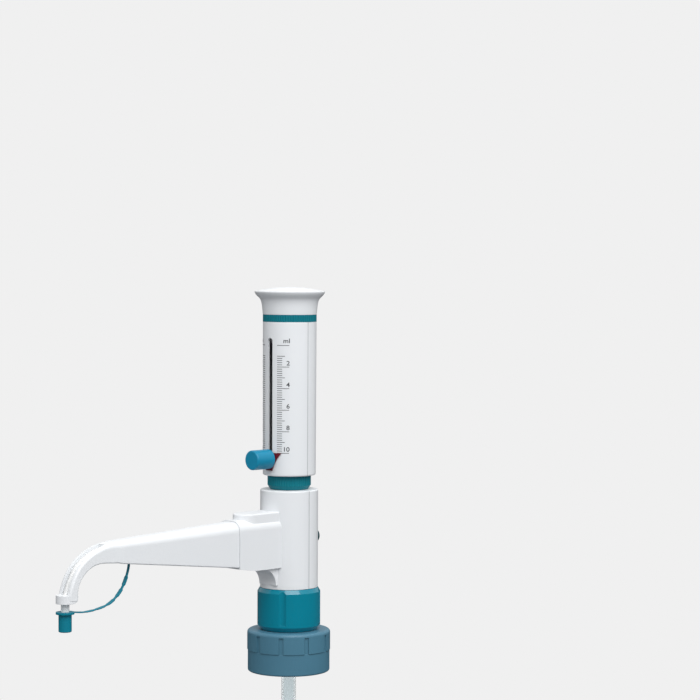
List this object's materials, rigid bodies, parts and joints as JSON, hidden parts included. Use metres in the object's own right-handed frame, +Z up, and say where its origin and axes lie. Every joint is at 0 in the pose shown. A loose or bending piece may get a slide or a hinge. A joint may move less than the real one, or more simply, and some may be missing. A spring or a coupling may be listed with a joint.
{
  "type": "bottle-top dispenser",
  "caption": "Bottle-top dispenser: sliding piston sleeve with a volume scale and setting knob, swivelling valve block, curved spout with tethered nozzle cap, telescopic filling tube.",
  "frame": {"origin": "centre of the bottle adapter's lower opening, where the bottle's neck enters", "axes": "+Z up along the piston, -Y along the spout, +X across it"},
  "size_m": [0.0515, 0.2053, 0.423],
  "materials": {
    "white_shell": "satin moulded ABS",
    "teal_gloss": "glossy moulded",
    "teal_satin": "satin moulded",
    "teal_soft": "soft flexible",
    "knob_blue": "fine matt",
    "adapter_grey_blue": "matt moulded",
    "pointer_red": "satin",
    "clear_tube": "translucent",
    "cylinder_glass": "clear ground bore",
    "ball_glass": "polished",
    "inert_white": "waxy machined",
    "rod_white": "smooth",
    "guard_grey": "matt",
    "seal_rubber": "matt",
    "stud_brass": "turned"
  },
  "bodies": {
    "adapter": {"thread_adapter": "adapter_grey_blue", "adapter_gasket": "seal_rubber"},
    "collar": {"collar": "teal_gloss"},
    "block": {"block_front": "white_shell", "block_rear": "white_shell", "valve_core": "inert_white", "retaining_ring": "inert_white", "neck_seal": "seal_rubber", "filling_valve_body": "inert_white", "upper_filling_tube": "clear_tube", "discharge_valve_body": "inert_white", "discharge_tube": "clear_tube", "spout_shell": "white_shell", "cap_strap": "teal_soft", "glass_cylinder": "cylinder_glass", "cylinder_gasket": "seal_rubber", "cylinder_guard": "guard_grey", "stop_ring": "guard_grey"},
    "sleeve": {"front_shell": "white_shell", "rear_shell": "white_shell", "lower_ring": "teal_satin", "top_band": "teal_satin", "push_cap": "white_shell", "piston_rod": "rod_white", "piston_head": "inert_white", "piston_seal": "inert_white"},
    "slider": {"slider_nut": "guard_grey", "knob_stud": "stud_brass", "pointer_plate": "pointer_red"},
    "knob": {"knob": "knob_blue"},
    "nozzle_cap": {"nozzle_cap": "teal_soft"},
    "vent_plug": {"vent_plug": "teal_satin"},
    "lower_tube": {"lower_filling_tube": "clear_tube"},
    "filling_ball": {"filling_ball": "ball_glass"},
    "discharge_ball": {"discharge_ball": "ball_glass"}
  },
  "joints": [
    {"name": "block_swivel", "type": "hinge", "parent": "adapter", "child": "block", "pos_m": [0, 0, 0.0524], "axis": [0, 0, 1], "continuous": true},
    {"name": "collar_turn", "type": "hinge", "parent": "adapter", "child": "collar", "pos_m": [0, 0, 0.039], "axis": [0, 0, 1], "continuous": true},
    {"name": "sleeve_lift", "type": "slide", "parent": "block", "child": "sleeve", "axis": [0, 0, 1], "range_m": [0, 0.0661]},
    {"name": "volume_set", "type": "slide", "parent": "sleeve", "child": "slider", "axis": [0, 0, 1], "range_m": [0, 0.0595]},
    {"name": "knob_turn", "type": "hinge", "parent": "slider", "child": "knob", "pos_m": [0, -0.0248, 0.1324], "axis": [0, -1, 0], "range_deg": [0, 270]},
    {"name": "cap_pull", "type": "slide", "parent": "block", "child": "nozzle_cap", "axis": [0, 0, -1], "range_m": [0, 0.013], "deforming": ["cap_strap"]},
    {"name": "vent_plug_pull", "type": "slide", "parent": "block", "child": "vent_plug", "axis": [0, 1, 0], "range_m": [0, 0.012]},
    {"name": "tube_extend", "type": "slide", "parent": "block", "child": "lower_tube", "axis": [0, 0, -1], "range_m": [-0.045, 0.04]},
    {"name": "filling_ball_lift", "type": "slide", "parent": "block", "child": "filling_ball", "axis": [0, 0, 1], "range_m": [0, 0.0012]},
    {"name": "discharge_ball_open", "type": "slide", "parent": "block", "child": "discharge_ball", "axis": [0, -1, 0], "range_m": [0, 0.0012]}
  ]
}
